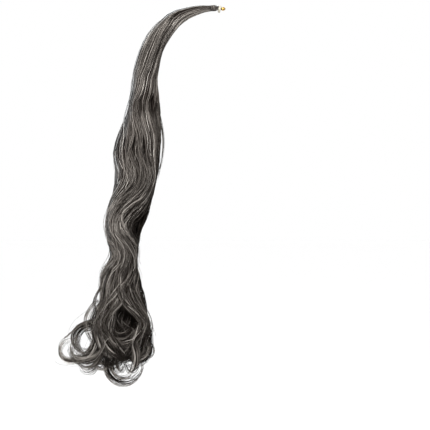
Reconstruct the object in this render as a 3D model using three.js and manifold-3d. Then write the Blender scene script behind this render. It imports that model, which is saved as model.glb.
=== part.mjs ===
// A long ponytail hairpiece. Its bound root is pinned at the crown of the head, and the hair runs back over the
// crown and falls down the back in loose waves that end in ringlets.
// Millimetres, +Z up, +X towards the wearer's face and +Y to the wearer's left. The origin is on the scalp, under
// the bound root, where the pin holds the piece.
import * as THREE from "three";
import { mergeVertices } from "three/addons/utils/BufferGeometryUtils.js";
import Module from "manifold-3d";

const wasm = await Module();
wasm.setup();

// Middle of the hair from its cut end to its tips. x and z place each section, thick is its size in the side view,
// wide is its size along Y, and ridge is the depth of the grooves between locks as a share of the half thickness.
const TAIL = [
  { x: 9.2, z: 6.9, thick: 4.4, wide: 9, ridge: 0 },
  { x: 4.8, z: 7.2, thick: 5.8, wide: 11.5, ridge: 0 },
  { x: 0.5, z: 7.1, thick: 6.6, wide: 13, ridge: 0 },
  { x: -8.5, z: 6.6, thick: 6.4, wide: 13, ridge: 0 },
  { x: -13, z: 6.2, thick: 8.2, wide: 16, ridge: 0.03 },
  { x: -21, z: 5.1, thick: 11.2, wide: 20, ridge: 0.05 },
  { x: -38, z: 0.2, thick: 14.5, wide: 28, ridge: 0.07 },
  { x: -57.5, z: -9.5, thick: 22, wide: 37, ridge: 0.08 },
  { x: -75, z: -26.5, thick: 27, wide: 44, ridge: 0.09 },
  { x: -89, z: -47.5, thick: 30, wide: 48, ridge: 0.1 },
  { x: -97, z: -72, thick: 33, wide: 51, ridge: 0.1 },
  { x: -102, z: -99, thick: 35, wide: 53, ridge: 0.11 },
  { x: -102, z: -126, thick: 41, wide: 58, ridge: 0.13 },
  { x: -103.5, z: -152, thick: 49, wide: 66, ridge: 0.15 },
  { x: -108, z: -178, thick: 58, wide: 75, ridge: 0.16 },
  { x: -113.5, z: -206, thick: 65, wide: 80, ridge: 0.17 },
  { x: -114, z: -234, thick: 61, wide: 80, ridge: 0.18 },
  { x: -119, z: -263, thick: 54, wide: 79, ridge: 0.19 },
  { x: -126, z: -290, thick: 56, wide: 77, ridge: 0.2 },
  { x: -133, z: -316, thick: 50, wide: 73, ridge: 0.2 },
  { x: -132, z: -344, thick: 40, wide: 66, ridge: 0.2 },
  { x: -133.5, z: -365, thick: 38.5, wide: 66, ridge: 0.2 },
  { x: -136.5, z: -385, thick: 53, wide: 74, ridge: 0.2 },
  { x: -137.5, z: -403, thick: 57, wide: 82, ridge: 0.2 },
  { x: -135, z: -422, thick: 62, wide: 88, ridge: 0.2 },
  { x: -136, z: -444, thick: 72, wide: 94, ridge: 0.2 },
  { x: -136, z: -466, thick: 82, wide: 100, ridge: 0.2 },
  { x: -133, z: -488, thick: 82, wide: 100, ridge: 0.2 },
  { x: -131, z: -506, thick: 70, wide: 86, ridge: 0.2 },
  { x: -130, z: -514, thick: 42, wide: 54, ridge: 0.2 },
];
const TAIL_STEPS = 56;
const LOCKS_ROUND = 11;
const POINTS_PER_LOCK = 4;
const LOCK_MEAN = 0.64;
const LEAST_SWING_RADIUS = 12;

// How far the locks sway towards the face, on the side of the tail at -Y, at each height of their fall
const SWAY = [
  { z: 20, sway: -9 },
  { z: 0, sway: -7 },
  { z: -25, sway: -1 },
  { z: -50, sway: 3 },
  { z: -75, sway: 2 },
  { z: -105, sway: -3 },
  { z: -142, sway: -13 },
  { z: -195, sway: 3 },
  { z: -242, sway: 14 },
  { z: -308, sway: -15 },
  { z: -358, sway: 11 },
  { z: -412, sway: -4 },
  { z: -460, sway: 3 },
  { z: -520, sway: 0 },
];

// Ringlets. leave is the height at which a lock leaves the tail and side is the way round the tail there, from the
// outside of the tail towards +Y. x, y and z are the middle of its loop, and turn swings the loop's plane round Z
// from the XZ plane. from and sweep are angles round the loop, and drift carries the lock along the loop's axis.
const RINGLETS = [
  { leave: -425, side: 12, x: -189, y: -6, z: -476, turn: 0, radius: 17.5, from: 100, sweep: 255, drift: -14, thick: 14 },
  { leave: -420, side: 5, x: -180, y: 4, z: -484, turn: 0, radius: 24, from: 105, sweep: 190, drift: 10, thick: 14 },
  { leave: -462, side: -18, x: -213.5, y: 8, z: -496.5, turn: 0, radius: 16, from: -80, sweep: -235, drift: 18, thick: 17 },
  { leave: -474, side: 15, x: -181, y: -14, z: -515, turn: 0, radius: 11, from: 10, sweep: -205, drift: -8, thick: 6 },
  { leave: -474, side: 60, x: -168, y: 24, z: -503, turn: 20, radius: 15, from: -10, sweep: -250, drift: 14, thick: 9 },
  { leave: -478, side: -50, x: -164, y: -18, z: -511, turn: 0, radius: 11, from: 170, sweep: 235, drift: -10, thick: 7 },
  { leave: -478, side: -120, x: -131, y: -12, z: -517, turn: 0, radius: 24.5, from: 165, sweep: 228, drift: 14, thick: 14 },
  { leave: -474, side: -90, x: -134, y: -26, z: -519, turn: 0, radius: 14.5, from: 155, sweep: 235, drift: -6, thick: 8 },
  { leave: -452, side: 165, x: -104, y: 12, z: -497, turn: 0, radius: 9.5, from: 65, sweep: -270, drift: 14, thick: 18 },
  { leave: -456, side: -160, x: -107, y: -24, z: -491, turn: -25, radius: 9.5, from: 60, sweep: -260, drift: -12, thick: 16 },
  { leave: -408, side: -84, x: -131, y: -46, z: -466, turn: 0, radius: 22, from: 80, sweep: -205, drift: -8, thick: 11 },
  { leave: -404, side: -72, x: -133, y: -44, z: -466, turn: 0, radius: 23, from: 100, sweep: 205, drift: -8, thick: 11 },
  { leave: -426, side: 60, x: -126, y: 44, z: -478, turn: 0, radius: 20, from: 168, sweep: 230, drift: 10, thick: 12 },
  { leave: -420, side: 100, x: -148, y: 42, z: -474, turn: 0, radius: 19, from: 12, sweep: -230, drift: 10, thick: 12 },
  { leave: -470, side: 90, x: -134, y: 34, z: -512, turn: 60, radius: 17, from: 150, sweep: 230, drift: 12, thick: 10 },
  { leave: -474, side: -100, x: -116, y: -34, z: -508, turn: 110, radius: 16, from: 150, sweep: 235, drift: 10, thick: 9 },
];
const RINGLET = { approachSteps: 8, loopSteps: 13, sides: 7, root: 0.62, tip: 0.45, pull: 0.42, broad: 1.7 };

// The lock of hair that is wound round the root
const WRAP = { back: -8.8, front: 2.6, thickness: 0.95, ridge: 0.4, winds: 4, steps: 21, sides: 20, clearance: 0.35, overrun: 4 };

// The elastic band round the cut end, which leans forward
const BAND = { x: 8.3, z: 5.4, high: 10.4, wide: 13, wall: 0.9, length: 2.4, bevel: 0.35, leanDeg: 15, arcSteps: 14 };

// The pin has a rounded head in front of the band and a flat leg that runs back inside the bound root
const PIN = [
  { x: 16.9, z: 6, high: 0.9, wide: 1.2 },
  { x: 16.4, z: 6, high: 2.8, wide: 2.6 },
  { x: 15.2, z: 6, high: 4.6, wide: 4 },
  { x: 13.6, z: 6, high: 5.4, wide: 4.6 },
  { x: 12, z: 6, high: 5, wide: 4.4 },
  { x: 10.9, z: 6, high: 3.6, wide: 3.8 },
  { x: 10.2, z: 6, high: 1.6, wide: 3.2 },
  { x: 9.6, z: 6, high: 0.9, wide: 3 },
  { x: 0, z: 6.6, high: 0.9, wide: 3 },
  { x: -9, z: 6, high: 0.9, wide: 3 },
  { x: -15, z: 4.6, high: 0.9, wide: 2.6 },
  { x: -18, z: 3.6, high: 0.5, wide: 1.2 },
];
const PIN_LEG_ROW = 7;
const PIN_SIDES = 12;
const PIN_CLEARANCE = 0.35;
const PIN_SLOT_OVERRUN = 1.2;

// Edges shorter than this, which the joins leave, are closed up
const SHORTEST_EDGE = 0.05;

const Y_AXIS = new THREE.Vector3(0, 1, 0);

const material = {
  hair: new THREE.MeshStandardMaterial({ color: 0x4a4643, roughness: 0.55, metalness: 0 }),
  elastic: new THREE.MeshStandardMaterial({ color: 0xdedad0, roughness: 0.6, metalness: 0 }),
  brass: new THREE.MeshStandardMaterial({ color: 0xc99a3c, roughness: 0.3, metalness: 1 }),
};

// A closed body through rings of points, each ring anticlockwise about the way that the rings advance
function loft(rings) {
  const round = rings[0].length;
  const points = rings.flat();
  const middles = [rings[0], rings.at(-1)].map((ring) =>
    ring.reduce((sum, p) => sum.add(p), new THREE.Vector3()).divideScalar(round),
  );
  const firstMiddle = points.length;
  const lastMiddle = firstMiddle + 1;
  const lastRing = (rings.length - 1) * round;
  const triangles = [];
  for (let j = 0; j < round; j++) {
    const k = (j + 1) % round;
    for (let i = 0; i < lastRing; i += round) {
      triangles.push(i + j, i + k, i + round + k);
      triangles.push(i + j, i + round + k, i + round + j);
    }
    triangles.push(firstMiddle, k, j);
    triangles.push(lastMiddle, lastRing + j, lastRing + k);
  }
  const geometry = new THREE.BufferGeometry().setFromPoints([...points, ...middles]);
  return geometry.setIndex(triangles);
}

function solidOf(geometry) {
  const bare = geometry.clone();
  bare.deleteAttribute("normal");
  bare.deleteAttribute("uv");
  const merged = mergeVertices(bare);
  const vertProperties = new Float32Array(merged.attributes.position.array);
  const triVerts = new Uint32Array(merged.index.array);
  return new wasm.Manifold(new wasm.Mesh({ numProp: 3, vertProperties, triVerts }));
}

function geometryOf(solid) {
  const { vertProperties, triVerts } = solid.getMesh();
  const geometry = new THREE.BufferGeometry();
  geometry.setAttribute("position", new THREE.BufferAttribute(new Float32Array(vertProperties), 3));
  geometry.setIndex(new THREE.BufferAttribute(new Uint32Array(triVerts), 1));
  geometry.computeVertexNormals();
  return geometry;
}

function named(name, geometry, look) {
  const mesh = new THREE.Mesh(geometry, look);
  mesh.name = name;
  return mesh;
}

// The tail's middle line, and its section sizes on the same parameter
const tailLine = new THREE.CatmullRomCurve3(TAIL.map(({ x, z }) => new THREE.Vector3(x, 0, z)));
const tailSizes = new THREE.CatmullRomCurve3(
  TAIL.map(({ thick, wide, ridge }) => new THREE.Vector3(thick, wide, ridge)),
  false,
  "catmullrom",
);

function tailAt(t) {
  const middle = tailLine.getPoint(t);
  const along = tailLine.getTangent(t);
  const outward = new THREE.Vector3(along.z, 0, -along.x);
  const sizes = tailSizes.getPoint(t);
  return { middle, along, outward, thick: sizes.x, wide: sizes.y, ridge: Math.max(0, sizes.z) };
}

// How far the locks have swung round the tail at a section
function swingAt({ middle, thick }) {
  const below = Math.max(1, SWAY.findIndex(({ z }) => z <= middle.z));
  const [upper, lower] = [SWAY[below - 1], SWAY[below]];
  const share = THREE.MathUtils.smoothstep(-middle.z, -upper.z, -lower.z);
  return -THREE.MathUtils.lerp(upper.sway, lower.sway, share) / Math.max(thick / 2, LEAST_SWING_RADIUS);
}

function tailPoint(section, angle, share) {
  return section.middle
    .clone()
    .addScaledVector(section.outward, (share * section.thick * Math.cos(angle)) / 2)
    .addScaledVector(Y_AXIS, (share * section.wide * Math.sin(angle)) / 2);
}

// One section of the tail with its locks standing out as ridges
function lockedRing(t) {
  const section = tailAt(t);
  const swing = swingAt(section);
  const count = LOCKS_ROUND * POINTS_PER_LOCK;
  return Array.from({ length: count }, (_, j) => {
    const angle = (2 * Math.PI * j) / count;
    const lock = Math.abs(Math.cos((LOCKS_ROUND * angle) / 2)) - LOCK_MEAN;
    return tailPoint(section, angle + swing, 1 + section.ridge * lock);
  });
}

// One plain section of the tail, with every side moved out by grow
function plainRing(t, grow, count) {
  const section = tailAt(t);
  section.thick += 2 * grow;
  section.wide += 2 * grow;
  return Array.from({ length: count }, (_, j) => tailPoint(section, (2 * Math.PI * j) / count, 1));
}

// Where the tail's middle line passes a value of x or z, both of which fall all the way along the parts used
function tailWhere(axis, value) {
  let low = 0;
  let high = 1;
  for (let i = 0; i < 30; i++) {
    const t = (low + high) / 2;
    if (tailLine.getPoint(t)[axis] > value) low = t;
    else high = t;
  }
  return low;
}

// The way across a ringlet's loop and the loop's axis
function ringletAxes({ turn }) {
  const angle = THREE.MathUtils.degToRad(turn);
  return {
    across: new THREE.Vector3(Math.cos(angle), Math.sin(angle), 0),
    axis: new THREE.Vector3(-Math.sin(angle), Math.cos(angle), 0),
  };
}

// A ringlet leaves the tail along its fall, bends over to its loop and runs round it
function ringletLine(row) {
  const { degToRad } = THREE.MathUtils;
  const { across, axis } = ringletAxes(row);
  const loopPoint = (share) => {
    const angle = degToRad(row.from + row.sweep * share);
    return new THREE.Vector3(row.x, row.y, row.z + row.radius * Math.sin(angle))
      .addScaledVector(across, row.radius * Math.cos(angle))
      .addScaledVector(axis, row.drift * share);
  };
  const section = tailAt(tailWhere("z", row.leave));
  const start = tailPoint(section, degToRad(row.side), RINGLET.root);
  const end = loopPoint(0);
  const reach = RINGLET.pull * start.distanceTo(end);
  const entry = loopPoint(0.01).sub(end).normalize();
  const approach = new THREE.CubicBezierCurve3(
    start,
    start.clone().addScaledVector(section.along, reach),
    end.clone().addScaledVector(entry, -reach),
    end,
  );
  const loop = Array.from({ length: RINGLET.loopSteps }, (_, i) => loopPoint((i + 1) / RINGLET.loopSteps));
  return new THREE.CatmullRomCurve3([...approach.getPoints(RINGLET.approachSteps), ...loop]);
}

// A ringlet is a flat lock, broad along its loop's axis, that thins to its tip
function ringlet(row) {
  const line = ringletLine(row);
  const { axis } = ringletAxes(row);
  const steps = RINGLET.approachSteps + RINGLET.loopSteps;
  const rings = Array.from({ length: steps + 1 }, (_, i) => {
    const share = i / steps;
    const middle = line.getPointAt(share);
    const along = line.getTangentAt(share);
    const sideways = axis.clone().addScaledVector(along, -axis.dot(along)).normalize();
    const inward = sideways.clone().cross(along);
    const radius = (row.thick / 2) * (1 - (1 - RINGLET.tip) * share);
    return Array.from({ length: RINGLET.sides }, (_, j) => {
      const angle = (2 * Math.PI * j) / RINGLET.sides;
      return middle
        .clone()
        .addScaledVector(inward, radius * Math.cos(angle))
        .addScaledVector(sideways, RINGLET.broad * radius * Math.sin(angle));
    });
  });
  return loft(rings);
}

// One section of the pin, with every side moved out by grow
function pinRing({ x, z, high, wide }, grow) {
  return Array.from({ length: PIN_SIDES }, (_, j) => {
    const angle = (2 * Math.PI * j) / PIN_SIDES;
    const y = (wide / 2 + grow) * Math.sin(angle);
    return new THREE.Vector3(x, y, z + (high / 2 + grow) * Math.cos(angle));
  });
}

// The slot in the hair that the pin's leg lies in, open at the cut end and closed beyond the leg's tip
function pinSlot() {
  const leg = PIN.slice(PIN_LEG_ROW);
  const mouth = { ...leg[0], x: leg[0].x + PIN_SLOT_OVERRUN };
  const end = { ...leg.at(-1), x: leg.at(-1).x - PIN_CLEARANCE };
  return loft([mouth, ...leg, end].map((row) => pinRing(row, PIN_CLEARANCE)));
}

function hairTail() {
  const rings = Array.from({ length: TAIL_STEPS + 1 }, (_, i) => lockedRing(i / TAIL_STEPS));
  const joined = RINGLETS.reduce((sum, row) => sum.add(solidOf(ringlet(row))), solidOf(loft(rings)));
  const slotted = joined.subtract(solidOf(pinSlot()));
  return named("hair_tail", geometryOf(slotted.simplify(SHORTEST_EDGE)), material.hair);
}

function rootWrap() {
  const front = tailWhere("x", WRAP.front);
  const back = tailWhere("x", WRAP.back);
  const outer = Array.from({ length: WRAP.steps }, (_, i) => {
    const share = i / (WRAP.steps - 1);
    const wind = Math.abs(Math.sin(Math.PI * WRAP.winds * share));
    const grow = WRAP.clearance + WRAP.thickness + WRAP.ridge * (wind - 1);
    return plainRing(front + (back - front) * share, grow, WRAP.sides);
  });
  const boreFront = tailWhere("x", WRAP.front + WRAP.overrun);
  const boreBack = tailWhere("x", WRAP.back - WRAP.overrun);
  const inner = Array.from({ length: WRAP.steps }, (_, i) => {
    const share = i / (WRAP.steps - 1);
    return plainRing(boreFront + (boreBack - boreFront) * share, WRAP.clearance, WRAP.sides);
  });
  const sleeve = solidOf(loft(outer)).subtract(solidOf(loft(inner)));
  return named("root_wrap", geometryOf(sleeve.simplify(SHORTEST_EDGE)), material.hair);
}

function endBand() {
  const ring = new THREE.Shape().absellipse(0, 0, BAND.wide / 2 - BAND.bevel, BAND.high / 2 - BAND.bevel, 0, 2 * Math.PI);
  const inside = BAND.wall - BAND.bevel;
  const hole = new THREE.Path();
  hole.absellipse(0, 0, BAND.wide / 2 - inside, BAND.high / 2 - inside, 0, 2 * Math.PI);
  ring.holes.push(hole);
  const geometry = new THREE.ExtrudeGeometry(ring, {
    depth: BAND.length,
    bevelThickness: BAND.bevel,
    bevelSize: BAND.bevel,
    bevelSegments: 1,
    curveSegments: BAND.arcSteps,
  });
  geometry.translate(0, 0, -BAND.length / 2);
  geometry.rotateY(Math.PI / 2);
  geometry.rotateX(Math.PI / 2);
  geometry.rotateY(THREE.MathUtils.degToRad(BAND.leanDeg));
  geometry.translate(BAND.x, 0, BAND.z);
  return named("end_band", geometry, material.elastic);
}

function hairPin() {
  return named("hair_pin", loft(PIN.map((row) => pinRing(row, 0))), material.brass);
}

const ponytail = new THREE.Group();
ponytail.add(hairTail(), rootWrap(), endBand(), hairPin());

export default ponytail;
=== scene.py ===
"""A long wavy ponytail hairpiece, grown as strands over its solids, with its bound root, band and pin."""

import math
from collections import namedtuple

import bpy
import numpy as np
from bpy.props import FloatProperty, FloatVectorProperty, IntProperty, PointerProperty
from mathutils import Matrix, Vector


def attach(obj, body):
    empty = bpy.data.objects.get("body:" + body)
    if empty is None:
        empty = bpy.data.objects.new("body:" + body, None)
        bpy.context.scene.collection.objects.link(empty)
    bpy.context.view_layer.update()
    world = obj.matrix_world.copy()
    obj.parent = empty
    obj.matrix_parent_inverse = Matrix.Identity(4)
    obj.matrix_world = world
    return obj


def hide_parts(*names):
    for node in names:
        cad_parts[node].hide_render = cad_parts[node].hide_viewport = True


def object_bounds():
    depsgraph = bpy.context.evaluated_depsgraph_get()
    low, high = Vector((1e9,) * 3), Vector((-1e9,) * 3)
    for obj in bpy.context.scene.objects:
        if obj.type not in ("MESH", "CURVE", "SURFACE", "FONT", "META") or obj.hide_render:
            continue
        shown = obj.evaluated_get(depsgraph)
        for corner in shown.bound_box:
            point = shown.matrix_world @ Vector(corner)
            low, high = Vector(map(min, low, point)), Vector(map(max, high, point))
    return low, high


bl_info = {
    "name": "Wavy ponytail hairpiece",
    "version": (1, 0, 0),
    "blender": (4, 5, 0),
    "location": "3D View > Sidebar > Ponytail",
    "description": "Grows a long wavy ponytail over its solids, with its wound root, band and pin",
    "category": "Object",
}

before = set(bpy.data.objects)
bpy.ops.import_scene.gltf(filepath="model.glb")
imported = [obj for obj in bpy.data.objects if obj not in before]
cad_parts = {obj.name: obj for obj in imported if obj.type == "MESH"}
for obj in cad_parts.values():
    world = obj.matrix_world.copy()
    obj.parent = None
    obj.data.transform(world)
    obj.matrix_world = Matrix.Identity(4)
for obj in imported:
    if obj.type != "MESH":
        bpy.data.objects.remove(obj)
CAD_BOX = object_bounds()
BODY = "root"
MM = 0.001
FULL_TURN = 2 * math.pi
X, Y, Z = range(3)
Y_AXIS = np.array((0.0, 1.0, 0.0))
Z_AXIS = np.array((0.0, 0.0, 1.0))


def table(kind, *rows):
    """The rows of a table with named columns."""
    return tuple(kind(*row) for row in rows)


# Sections of the tail from cut end to tips, in millimetres: middle, thickness from the side and width
TailRow = namedtuple("TailRow", "x z thick wide")
TAIL = table(
    TailRow,
    (9.2, 6.9, 4.4, 9), (4.8, 7.2, 5.8, 11.5), (0.5, 7.1, 6.6, 13), (-8.5, 6.6, 6.4, 13),
    (-13, 6.2, 8.2, 16), (-21, 5.1, 11.2, 20), (-38, 0.2, 14.5, 28), (-57.5, -9.5, 22, 37),
    (-75, -26.5, 27, 44), (-89, -47.5, 30, 48), (-97, -72, 33, 51), (-102, -99, 35, 53),
    (-102, -126, 41, 58), (-103.5, -152, 49, 66), (-108, -178, 58, 75), (-113.5, -206, 65, 80),
    (-114, -234, 61, 80), (-119, -263, 54, 79), (-126, -290, 56, 77), (-133, -316, 50, 73),
    (-132, -344, 40, 66), (-133.5, -365, 38.5, 66), (-136.5, -385, 53, 74), (-137.5, -403, 57, 82),
    (-135, -422, 62, 88), (-136, -444, 72, 94), (-136, -466, 82, 100), (-133, -488, 82, 100),
    (-131, -506, 70, 86), (-130, -514, 42, 54),
)

# How far the locks on the near face sway towards the wearer at each height, in millimetres
SwayRow = namedtuple("SwayRow", "z sway")
SWAY = table(
    SwayRow,
    (20, -9), (0, -7), (-25, -1), (-50, 3), (-75, 2), (-105, -3), (-142, -13), (-195, 3), (-242, 14),
    (-308, -15), (-358, 11), (-412, -4), (-460, 3), (-520, 0),
)

# Ringlets: the height and side at which a lock leaves the tail, the middle, plane, radius and run of
# its loop, how far it drifts along the loop's axis, its thickness and its tone
RingletRow = namedtuple("RingletRow", "leave side x y z turn radius start sweep drift thick tone")
RINGLETS = table(
    RingletRow,
    (-425, 12, -188, -6, -477, 0, 18.5, 100, 255, -14, 9.5, 0.45),
    (-420, 5, -180, 4, -484, 0, 24, 105, 190, 10, 14, 0.3),
    (-462, -18, -213.5, 8, -496.5, 0, 16, -80, -235, 18, 17, 0.4),
    (-446, -30, -197, -14, -493, 0, 13, -95, -190, -10, 11, 0.35),
    (-456, 30, -186, -6, -496, 0, 15, -60, -160, 14, 14, 0.25),
    (-466, -60, -196, -24, -499, 0, 12, -85, -190, -6, 15, 0.35),
    (-472, -45, -186, -26, -507, 0, 11, -90, -170, -6, 12, 0.3),
    (-470, 15, -184, -14, -516, 0, 10.5, 20, -215, -8, 8, 0.4),
    (-474, 60, -168, 24, -503, 20, 15, -10, -250, 14, 9, 0.3),
    (-478, -50, -164, -18, -511, 0, 11, 170, 235, -10, 7, 0.45),
    (-478, -120, -131, -12, -517, 0, 25, 165, 228, 14, 12, 0.4),
    (-474, -90, -134, -26, -519, 0, 14.5, 155, 235, -6, 8, 0.35),
    (-452, 165, -104, 12, -497, 0, 11.5, 65, -290, 14, 13, 0.0),
    (-456, -160, -106, -24, -491, -25, 11, 60, -290, -12, 12.5, 0.05),
    (-426, 60, -126, 44, -478, 0, 20, 168, 230, 10, 12, 0.25),
    (-420, 100, -148, 42, -474, 0, 19, 12, -230, 10, 12, 0.25),
    (-470, 90, -134, 34, -512, 60, 17, 150, 230, 12, 10, 0.35),
    (-474, -100, -116, -34, -508, 110, 16, 150, 235, 10, 9, 0.35),
)

# A ringlet's lock: the height and twist of its lead down the tail, the pull of its bend, its breadth,
# the thickness left at its tip, and the points along its lead, bend and loop
RINGLET_LEAD = 150
RINGLET_LEAD_TWIST = -48
RINGLET_PULL = 0.42
RINGLET_BROAD = 1.7
RINGLET_TIP = 0.45
LEAD_STEPS = 15
BEND_STEPS = 12
LOOP_STEPS = 19

# Places on the near face where the locks part and show the dark inside
PartingRow = namedtuple("PartingRow", "x z radius reach")
PARTINGS = table(
    PartingRow,
    (-106, -138, 4, 13),
    (-89, -136, 5, 12),
    (-113, -315, 6, 24),
    (-130, -455, 28, 25),
)

# Dark places on the near face: painted shade in the gaps between locks at the first two and in the hollow
# beside the S-shaped lock at the last two, and the rest darken the hair there
ShadeRow = namedtuple("ShadeRow", "x z radius reach dark")
SHADES = table(
    ShadeRow,
    (-106, -138, 4, 9, 2.0),
    (-89, -136, 5, 8.4, 1.5),
    (-98, -132, 4, 18, 0.8),
    (-93, -97, 7, 22, 0.3),
    (-86, -72, 5, 14, 0.2),
    (-46, -6, 12, 9, 0.35),
    (-116, -180, 24, 24, 0.22),
    (-120, -293, 8, 13, 1.5),
    (-117, -308, 8, 16, 0.9),
)

# Locks laid on the near face: half width, share of the way out, tones at the top and the end, the places
# in the XZ plane that the lock passes, and the share of its length where its tone starts to turn
NearLock = namedtuple("NearLock", "width depth tone end_tone path fade", defaults=(0.4,))
NEAR_LOCKS = table(
    NearLock,
    (4.6, 1.02, 0.5, -1.2, (
        (-99, -190), (-97, -216), (-96, -243), (-100, -260), (-109, -270), (-119, -278), (-128, -287),
        (-134, -295), (-136, -303), (-134, -312), (-130, -322), (-121, -335), (-113, -349), (-113, -368),
        (-119, -392), (-113, -418), (-101, -440), (-97, -458), (-101, -480), (-114, -498),
    ), 0.56),
    (4.8, 1.01, 0.3, 0.25, (
        (-126, -258), (-135, -279), (-144, -297), (-148, -316), (-142, -337), (-140, -356), (-143, -378),
        (-149, -400), (-158, -424), (-166, -445), (-168, -465), (-160, -486), (-147, -500),
    )),
    (5, 1.01, 0.15, 0.7, (
        (-134, -352), (-137, -380), (-136, -403), (-135, -422), (-146, -437), (-154, -453), (-153, -470),
        (-143, -484), (-130, -494),
    )),
    (4, 1.02, 0.25, 0.7, (
        (-139, -372), (-141, -390), (-143, -410), (-152, -428), (-160, -447), (-162, -468), (-155, -489),
        (-140, -505),
    )),
    (2.2, 1.04, -0.1, 0.95, (
        (-130, -352), (-136, -370), (-139, -400), (-137, -413), (-130, -427), (-117, -440), (-108, -453),
        (-106, -464), (-111, -476), (-123, -494),
    )),
    (1.2, 1.03, 0.7, 0.9, (
        (-140, -398), (-146, -416), (-156, -434), (-161, -452), (-160, -470), (-151, -487), (-138, -502),
    )),
    (1.0, 1.03, 0.6, 0.9, (
        (-137, -405), (-141, -420), (-149, -434), (-154, -450), (-152, -466), (-144, -481), (-132, -494),
    )),
    (1.0, 1.03, 0.6, 0.9, (
        (-146, -392), (-155, -414), (-164, -436), (-169, -456), (-167, -476), (-158, -493), (-145, -507),
    )),
    (6, 0.72, -0.1, -0.1, ((-146, -442), (-137, -453), (-126, -461), (-114, -466))),
    (6, 0.72, -0.1, -0.1, ((-114, -442), (-123, -454), (-134, -462), (-146, -467))),
    (5, 0.74, -0.1, -0.1, ((-132, -437), (-137, -449), (-132, -460), (-121, -468))),
    (5, 0.82, 0.0, 0.0, ((-150, -461), (-141, -467), (-130, -469), (-120, -467), (-110, -460))),
    (5, 0.85, 0.05, 0.05, ((-150, -466), (-142, -474), (-131, -477), (-121, -476), (-110, -469))),
    (5, 0.87, 0.05, 0.05, ((-148, -474), (-139, -482), (-128, -484), (-116, -479))),
    (5, 0.88, 0.2, 0.2, ((-148, -440), (-153, -453), (-150, -467), (-141, -481), (-129, -495))),
    (5, 0.95, 0.3, 0.3, ((-150, -440), (-153, -456), (-149, -472), (-140, -487), (-130, -500))),
    (5, 1.0, 0.25, 0.25, ((-160, -448), (-162, -464), (-157, -480), (-146, -495), (-134, -505))),
    (4, 0.93, 0.25, 0.25, ((-109, -452), (-106, -465), (-111, -480), (-120, -491), (-128, -502))),
    (4, 0.86, 0.1, 0.1, ((-111, -462), (-110, -472), (-117, -484), (-125, -496))),
    (4.5, 1.02, 0.3, 0.5, (
        (-127, -376), (-132, -392), (-144, -408), (-157, -423), (-167, -440), (-172, -458), (-170, -476),
        (-162, -494),
    )),
    (3.5, 1.03, 0.2, 0.55, (
        (-126, -388), (-133, -402), (-145, -417), (-157, -434), (-163, -452), (-162, -470), (-154, -487),
    )),
    (1.2, 1.05, 0.8, 0.9, (
        (-128, -384), (-139, -401), (-153, -417), (-164, -434), (-170, -453), (-169, -470),
    )),
    (1.0, 1.05, 0.7, 0.9, (
        (-130, -398), (-140, -410), (-152, -425), (-160, -443), (-160, -461), (-153, -478),
    )),
)

# Near locks that lie deeper than this are sunk in the dark eye
SUNK_DEPTH = 0.9

# Thin wisps that hang clear of the tail, by the places that each passes in the XZ plane at one y
FreeWisp = namedtuple("FreeWisp", "y width tone path")
FREE_WISPS = table(
    FreeWisp,
    (-6, 1.8, 0.2, (
        (-86, -128), (-81, -147), (-77, -165), (-75, -182), (-75, -199), (-77, -216), (-82, -236),
        (-90, -262),
    )),
    (-14, 2.6, 0.4, (
        (-169, -422), (-178, -431), (-185, -443), (-187, -454), (-184, -469), (-177, -484), (-169, -495),
    )),
    (-8, 2.4, 0.4, (
        (-167, -428), (-174, -437), (-179, -448), (-179, -460), (-176, -473), (-169, -487), (-160, -498),
    )),
    (-20, 1.4, 0.4, (
        (-160, -392), (-166, -404), (-171, -413), (-174, -423), (-173, -434), (-169, -443), (-162, -452),
    )),
    (-8, 2.4, 0.35, (
        (-172, -452), (-187, -454), (-199, -460), (-208, -468), (-216, -475), (-224, -479),
    )),
)

# Single hairs: the heights where they leave the tail, their lengths, and how far out they start and rise
HairRow = namedtuple("HairRow", "heights lengths start lift")
FLYAWAYS = HairRow((-400, -70), (30, 80), 0.97, (0.02, 0.09))
LOOSE_HAIRS = HairRow((-420, -220), (70, 160), 1.0, (0.03, 0.08))

# The height that no single hair falls below, and the range of their tones
HAIR_LOWEST = -510
HAIR_TONES = (0.2, 0.7)

# The lock wound round the root: where it starts and ends in x, its turns, how far it stands off the tail,
# half its width as a share of its pitch, half its thickness and its tone
WOUND_FRONT = 2.4
WOUND_BACK = -8.6
WOUND_TURNS = 4
WOUND_STEPS = 110
WOUND_RISE = 0.85
WOUND_WIDTH = 0.56
WOUND_THICK = 0.4
WOUND_TONE = 0.3

# Lights: their power's setting, size and place in metres, and whether they glint
LightRow = namedtuple("LightRow", "name power size place glints")
LIGHTS = table(
    LightRow,
    ("key_light", "key_power", 0.6, (-0.35, -0.95, 0.7), True),
    ("fill_light", "fill_power", 1.2, (1.1, -1.6, 0.2), True),
    ("far_light", "far_power", 0.6, (-0.2, 0.95, 0.45), False),
)
LIGHT_TARGET = (-0.1, 0.0, -0.27)

# Half the side of the floor in metres, and the camera's sensor in millimetres
FLOOR_HALF = 40.0
SENSOR_WIDTH = 36


# Settings


def number(name, description, default, least=0):
    return IntProperty(name=name, description=description, default=default, min=least)


def length(name, description, default):
    return FloatProperty(name=name, description=description, default=default, unit="LENGTH", precision=5)


def power(name, description, default):
    return FloatProperty(name=name, description=description, default=default, unit="POWER", min=0)


def colour(name, description, default):
    return FloatVectorProperty(
        name=name, description=description, default=default, subtype="COLOR", min=0, max=1
    )


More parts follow.
